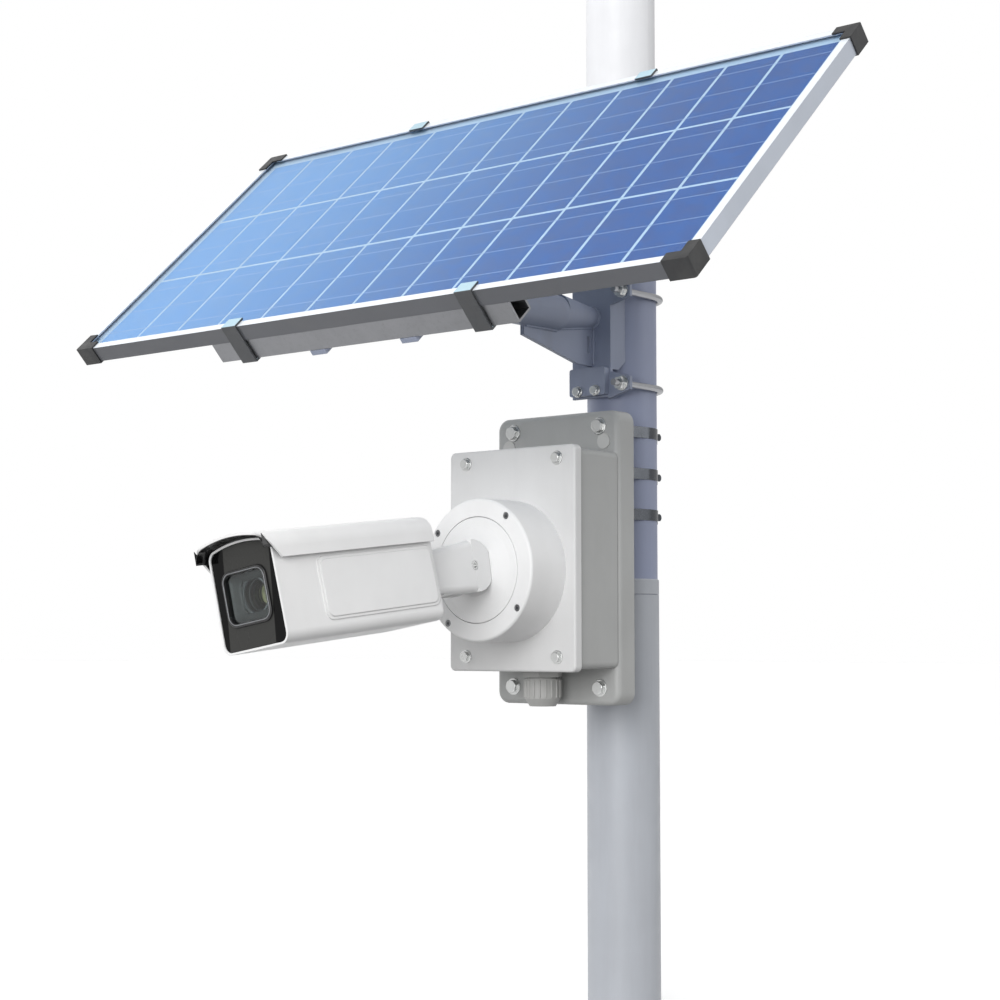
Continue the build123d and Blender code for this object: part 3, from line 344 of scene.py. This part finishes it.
FINISH = {
    mast_upper_paint_and_shade: ["mast_upper"],
    mast_lower_paint: ["mast_lower", "mast_collar"],
    bracket_paint: ["mast_channel", "panel_arm", "tilt_bracket", "cross_bars"],
    pad_paint: ["pole_saddle"],
    zinc: ["bracket_fasteners", "tilt_bolt", "ear_bolts", "cover_screws", "shield_screws", "tilt_pin"],
    screw_black: ["base_screws"],
    hook_steel: ["hook_bolts"],
    stainless: ["strap_bands", "strap_buckles"],
    frame_metal_side_shade: ["frame_top", "frame_left", "frame_right"],
    frame_bottom_painted_shade: ["frame_bottom"],
    rail_metal: ["lower_rail", "upper_rail"],
    clamp_coat: ["edge_clamps"],
    black_plastic: ["corner_caps", "junction_box", "mast_cap"],
    panel_clear: ["panel_glass"],
    cells: ["solar_cells"],
    sheet_white: ["back_sheet"],
    shell_grey: ["mount_box", "enclosure_body"],
    plug_grey: ["keyhole_plugs"],
    cover_grey: ["enclosure_cover"],
    gland_grey: ["gland_body", "gland_nut"],
    seal_rubber: ["cover_gasket", "gland_seal"],
    wrap_blue: ["battery_pack"],
    board_material(): ["charge_controller", "modem_board", "ir_board", "sensor_board", "main_board"],
    camera_white: ["camera_base", "pan_ring", "tilt_arm", "camera_housing", "sunshield"],
    trim_white: ["side_trim"],
    bare_alloy: ["pan_keeper", "roll_spigot", "focus_group"],
    face_material(): ["front_glass"],
    bezel_black: ["window_bezel"],
    barrel_black: ["lens_barrel"],
    emitter: ["ir_lights"],
    window_clear: ["lens_window"],
    lens_material(): ["front_lens"],
}
for material, names in FINISH.items():
    for name in names:
        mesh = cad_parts[name].data
        mesh.materials.clear()
        mesh.materials.append(material)


# ---------------------------------------------------------------- pieces built here
def piece(name, verts, faces, material, body, smooth=True):
    """One mesh object from vertices in the row frame, in millimetres."""
    mesh = bpy.data.meshes.new(name)
    mesh.from_pydata([Vector(v) * MM for v in verts], [], faces)
    mesh.materials.append(material)
    bm = bmesh.new()
    bm.from_mesh(mesh)
    bmesh.ops.recalc_face_normals(bm, faces=bm.faces)
    bm.to_mesh(mesh)
    bm.free()
    obj = bpy.data.objects.new(name, mesh)
    bpy.context.scene.collection.objects.link(obj)
    for polygon in mesh.polygons:
        polygon.use_smooth = smooth
    if smooth:
        mesh.set_sharp_from_angle(angle=math.radians(40))
    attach(obj, body)
    return obj


def grid_faces(rows, columns, first=0, close_rows=False, close_columns=False):
    """Quads between the points of a rows by columns grid."""
    faces = []
    for r in range(rows if close_rows else rows - 1):
        for c in range(columns if close_columns else columns - 1):
            here, ahead, c1 = first + r * columns, first + (r + 1) % rows * columns, (c + 1) % columns
            faces.append((here + c, here + c1, ahead + c1, ahead + c))
    return faces


def bead(verts, faces, path, radius, closed=False, ripple=0.14, sides=10):
    """Rippled weld bead along a path, added to a mesh's lists."""
    first, count = len(verts), len(path)
    for k, point in enumerate(path):
        ahead = path[(k + 1) % count] if closed or k + 1 < count else point
        behind = path[k - 1] if closed or k else point
        run = (Vector(ahead) - Vector(behind)).normalized()
        across = run.orthogonal() if abs(run.x) > 0.9 else run.cross(Vector((1, 0, 0)))
        across.normalize()
        other = run.cross(across)
        here = radius * (1 + ripple * math.sin(k * 2.4) + 0.5 * ripple * math.sin(k * 0.9 + 1.3))
        if not closed and k in (0, count - 1):
            here *= 0.3
        for j in range(sides):
            a = 2 * math.pi * j / sides
            verts.append(Vector(point) + here * (math.cos(a) * across + math.sin(a) * other))
    faces += grid_faces(count, sides, first, close_rows=closed, close_columns=True)
    if not closed:
        faces.append(tuple(range(first, first + sides)))
        faces.append(tuple(range(first + (count - 1) * sides, first + count * sides)))


def steps(low, high, size):
    """Even places from low to high, about size apart, with both ends."""
    count = max(2, int(abs(high - low) / size) + 1)
    return [low + (high - low) * k / (count - 1) for k in range(count)]


def polar(radius, angle, x=0.0, z=0.0):
    """Point on a circle round (x, z)."""
    return x + radius * math.cos(angle), z + radius * math.sin(angle)


def make_welds():
    """Beads round the arm's foot and along both sides of its gusset."""
    verts, faces, ring = [], [], []
    cone_z, foot_r, gain = ARM_Z + 2, 11.0, 8 / 60
    tube_low, gusset_foot, gusset_top = ARM_Z - 19.1, ARM_Z - 49.5, ARM_Z - 10
    tube_run, cone_run = (-168, -116), (-113, -57)
    foot_bead, side_bead, spacing = 1.7, 1.4, 1.0
    almost_round = 2 * math.pi * 0.985  # the ring's last step closes it
    for a in steps(0, almost_round, 0.1):
        x, z = polar(foot_r + 0.2, a, 0, cone_z)
        ring.append((x, CHANNEL_FRONT - 0.6, z))
    bead(verts, faces, ring, foot_bead, closed=True)
    for side in (-3.1, 3.1):
        upright = [(side, CHANNEL_FRONT - 0.5, z) for z in steps(gusset_foot, gusset_top, spacing)]
        bead(verts, faces, upright, side_bead)
        bead(verts, faces, [(side, y, tube_low) for y in steps(*tube_run, spacing)], side_bead)
        cone_low = cone_z - foot_r + 0.2
        cone = [(side, y, cone_low - gain * (CHANNEL_FRONT - y)) for y in steps(*cone_run, spacing)]
        bead(verts, faces, cone, side_bead)
    piece("arm_welds", verts, faces, bracket_paint, "panel_bracket")


def make_ribbons():
    """Three tinned ribbons along every row of cells, just under the glass."""
    verts, faces = [], []
    half_w, half_h = PANEL_W / 2, PANEL_H / 2
    pitch_v = (PANEL_H - 2 * CELL_EDGE) / CELL_ROWS
    pitch_x = (PANEL_W - 2 * CELL_EDGE) / CELL_COLS
    level = (CELL_TOP + GLASS_BACK) / 2
    profile = ((-0.45, -0.008), (-0.22, 0.008), (0.22, 0.008), (0.45, -0.008))
    for row in range(CELL_ROWS):
        for share in (1 / 6, 1 / 2, 5 / 6):
            v = -half_h + CELL_EDGE + (row + share) * pitch_v
            first, columns = len(verts), 0
            for x in steps(-half_w + CELL_EDGE + 2, half_w - CELL_EDGE - 2, pitch_x / 4):
                for dv, dw in profile:
                    verts.append(PANEL @ Vector((x, v + dv, level + dw)))
                columns += 1
            faces += grid_faces(columns, 4, first)
    piece("cell_ribbons", verts, faces, ribbon_metal, "panel", smooth=False)


def rounded_rect(width, height, radius, per_corner=8):
    """Points round a rectangle with rounded corners."""
    points = []
    for cx, cz, start in ((1, 1, 0), (-1, 1, 90), (-1, -1, 180), (1, -1, 270)):
        for k in range(per_corner + 1):
            a = math.radians(start + 90 * k / per_corner)
            points.append(polar(radius, a, cx * (width / 2 - radius), cz * (height / 2 - radius)))
    return points


def lofted(name, rings, material, body, smooth=True, close=False):
    """Skin through rings of (x, z) points, each at its own distance s forward of the tilt pin."""
    verts = [HEAD @ Vector((x, -s, z)) for ring, s in rings for x, z in ring]
    faces = grid_faces(len(rings), len(rings[0][0]), 0, close_rows=close, close_columns=True)
    return piece(name, verts, faces, material, body, smooth)


def circle(radius, count, z=0.0, ripple=0.0, teeth=0):
    """Ring of points, scalloped where it has teeth."""
    turn = [2 * math.pi * k / count for k in range(count)]
    return [polar(radius + ripple * math.sin(teeth * a), a, 0, z) for a in turn]


def shifted(points, dz):
    """The same points, moved up by dz."""
    return [(x, z + dz) for x, z in points]


def make_window_trim():
    """Rim round the window, funnel behind it and retaining ring round the front element."""
    profile = ((1.4, 1.62), (1.9, 1.82), (2.6, 1.82), (3.1, 1.62), (2.6, 1.5), (1.9, 1.5))
    opening_w, opening_h, corner = BEZEL_W - 7, BEZEL_H - 7, 8.0
    rings = []
    for grow, ds in profile:
        outline = rounded_rect(opening_w + grow, opening_h + grow, corner + grow / 2)
        rings.append((shifted(outline, LENS_Z), FACE_S + ds))
    lofted("window_rim", rings, rim_metal, "camera", close=True)

    square = rounded_rect(opening_w - 0.8, opening_h - 0.8, 7.6)
    turn = [math.atan2(z, x) for x, z in square]
    round_ring = [polar(18.4, a) for a in turn]
    funnel_rings, funnel_front, funnel_depth = 7, 4.2, 5.6
    rings = []
    for k in range(funnel_rings):
        t = k / (funnel_rings - 1)
        ease = t * t * (3 - 2 * t)
        ring = [(sx + (cx - sx) * ease, sz + (cz - sz) * ease + LENS_Z)
                for (sx, sz), (cx, cz) in zip(square, round_ring)]
        rings.append((ring, FACE_S - funnel_front - funnel_depth * t))
    lofted("window_funnel", rings, funnel_grey, "camera")

    profile = ((14.8, 268.2), (14.8, 270.4), (14.2, 271.0), (13.2, 270.6), (12.6, 269.2), (12.9, 268.4),
               (13.6, 268.0))
    rings = [(circle(r, 96, z=LENS_Z, ripple=0.10 if r > 13 else 0.0, teeth=24), s) for r, s in profile]
    lofted("lens_ring", rings, barrel_black, "camera", close=True)
    for k, (outer, s) in enumerate(((17.2, 276.15), (16.2, 275.9))):
        rings = [(circle(outer - inset, 72, z=LENS_Z), s + rise)
                 for inset, rise in ((0, 0.02), (0.35, 0.14), (0.7, 0.02))]
        lofted(f"barrel_line_{k}", rings, rim_metal, "camera")


def hood_section(grow, low_z):
    """The CAD body's section grown outward, from one side at low_z over the crown to the other."""
    bottom, top, radius, crown = Vector((42.5, -49.0)), Vector((41.5, 43.0)), 10.0, 49.0
    arc_r = (top.x ** 2 + (crown - top.y) ** 2) / (2 * (crown - top.y))
    centre = Vector((0, crown - arc_r))
    run = (top - bottom).normalized()
    outward = Vector((run.y, -run.x))
    base = bottom - radius * outward - centre
    b = base.dot(run)
    t = -b + math.sqrt(b * b - base.length_squared + (arc_r - radius) ** 2)
    corner = bottom - radius * outward + t * run
    a0, a1 = math.atan2(outward.y, outward.x), math.atan2(corner.y - centre.y, corner.x - centre.x)
    start = bottom + grow * outward
    foot = start + run * ((low_z - start.y) / run.y)
    half = [tuple(foot)]
    half += [polar(radius + grow, a, *corner) for a in steps(a0, a1, 0.12)]
    half += [polar(arc_r + grow, a, *centre) for a in steps(a1, math.pi / 2, 0.04)[1:]]
    return half + [(-x, z) for x, z in reversed(half[:-1])]


def make_visor_liner():
    """Black lining inside the front of the sunshield."""
    rear, front = FACE_S - 7.0, VISOR_S - 0.5
    rows, outer, inner = steps(rear, front, 2.0), [], []
    for s in rows:
        low = SHIELD_Z + 0.35 + CHEEK_RISE * max(0.0, (s - FACE_S + 6) / (VISOR_S - FACE_S + 6))
        outer.append([HEAD @ Vector((x, -s, z)) for x, z in hood_section(3.26, low)])
        inner.append([HEAD @ Vector((x, -s, z)) for x, z in hood_section(2.75, low)])
    columns = len(outer[0])
    verts = [p for row in outer for p in row] + [p for row in inner for p in row]
    shift = len(rows) * columns
    faces = grid_faces(len(rows), columns) + grid_faces(len(rows), columns, shift)
    last = len(rows) - 1
    rim = [r * columns for r in range(len(rows))] + [last * columns + c for c in range(1, columns)]
    rim += [r * columns + columns - 1 for r in range(last - 1, -1, -1)] + list(range(columns - 2, 0, -1))
    for k, a in enumerate(rim):
        b = rim[(k + 1) % len(rim)]
        faces.append((a, b, b + shift, a + shift))
    piece("visor_liner", verts, faces, liner_black, "sunshield")


ribbon_metal = bare_metal("tinned_ribbon", srgb("#b8cff0"), 0.4, grain=1500)
rim_metal = bare_metal("satin_rim", srgb("#8d8f92"), 0.35, grain=2200)
funnel_grey = coated("funnel_grey", srgb("#3e3e3e"), 0.45, 2400, 0.15, 0.04, grime=(0.2, 0.2, 0.2, 1))
liner_black = coated("liner_black", srgb("#101011"), 0.16, 2400, 0.08, 0.03, grime=(0.2, 0.2, 0.2, 1))
make_welds()
make_ribbons()
make_window_trim()
make_visor_liner()


# ---------------------------------------------------------------- floor, light, camera
def make_floor():
    """Pale plain floor, which lights nothing around it."""
    s = Shader("studio_floor")
    tone = s.mix(s.remap(s.noise(3, 4), 0.3, 0.7), (0.93, 0.93, 0.93, 1), (0.95, 0.95, 0.95, 1))
    s.principled(base_color=tone, roughness=0.7, emission_color=(1, 1, 1, 1), emission_strength=0.22)
    s.bsdf.inputs["Specular IOR Level"].default_value = 0.1
    bm = bmesh.new()
    bmesh.ops.create_grid(bm, x_segments=8, y_segments=8, size=30)
    mesh = bpy.data.meshes.new("studio_floor")
    bm.to_mesh(mesh)
    bm.free()
    mesh.materials.append(s.mat)
    floor = bpy.data.objects.new("studio_floor", mesh)
    floor.location.z = -0.0005
    bpy.context.scene.collection.objects.link(floor)
    floor.visible_diffuse = False


def make_world():
    """Bright above, dim below, brighter from the left; plain white where the camera sees it."""
    world = bpy.data.worlds.new("studio")
    bpy.context.scene.world = world
    world.use_nodes = True
    tree = world.node_tree
    tree.nodes.clear()

    def add(kind, **props):
        node = tree.nodes.new("ShaderNode" + kind)
        for key, value in props.items():
            setattr(node, key, value)
        return node

    def ranged(socket, *limits):
        """A socket's value moved smoothly: from low, from high, to low, to high."""
        node = add("MapRange", interpolation_type="SMOOTHSTEP")
        for k, value in enumerate(limits, 1):
            node.inputs[k].default_value = value
        tree.links.new(socket, node.inputs[0])
        return node.outputs[0]

    way = add("SeparateXYZ")
    tree.links.new(add("TexCoord").outputs["Generated"], way.inputs[0])
    lift = ranged(way.outputs[2], -0.35, 0.45, 0.22, 0.95)
    left = ranged(way.outputs[0], -0.85, -0.35, 0.85, 0.0)
    above = add("Math", operation="MULTIPLY")
    tree.links.new(left, above.inputs[0])
    tree.links.new(lift, above.inputs[1])
    total = add("Math", operation="ADD")
    tree.links.new(lift, total.inputs[0])
    tree.links.new(above.outputs[0], total.inputs[1])
    lit, seen, chosen = add("Background"), add("Background"), add("MixShader")
    tree.links.new(total.outputs[0], lit.inputs["Strength"])
    seen.inputs["Color"].default_value = (1, 1, 1, 1)
    tree.links.new(add("LightPath").outputs["Is Camera Ray"], chosen.inputs[0])
    tree.links.new(lit.outputs[0], chosen.inputs[1])
    tree.links.new(seen.outputs[0], chosen.inputs[2])
    tree.links.new(chosen.outputs[0], add("OutputWorld").inputs[0])


def aim(name, data, place, target):
    """Put a light or camera in place, looking at a point."""
    obj = bpy.data.objects.new(name, data)
    obj.location = place
    obj.rotation_euler = (Vector(target) - Vector(place)).to_track_quat("-Z", "Y").to_euler()
    bpy.context.scene.collection.objects.link(obj)
    return obj


def lamp(name, place, target, size, power):
    """Square area light."""
    data = bpy.data.lights.new(name, "AREA")
    data.size, data.energy = size, power
    aim(name, data, place, target)


make_floor()
make_world()
lamp("key", place=(1.3, -3.5, 1.25), target=(0, -0.2, 0.6), size=2.2, power=84)
lamp("rim", place=(2.6, 1.6, 1.5), target=(0, 0, 0.6), size=1.4, power=9)
VIEW_FROM, VIEW_AT = (1.32607, -1.74134, 0.40523), (-0.1014, -0.0876, 0.558)
lens = bpy.data.cameras.new("photo_view")
lens.lens, lens.sensor_width = 72, 36
camera = aim("photo_view", lens, VIEW_FROM, VIEW_AT)
bpy.context.scene.camera = camera
bpy.context.scene.view_settings.view_transform = "Standard"
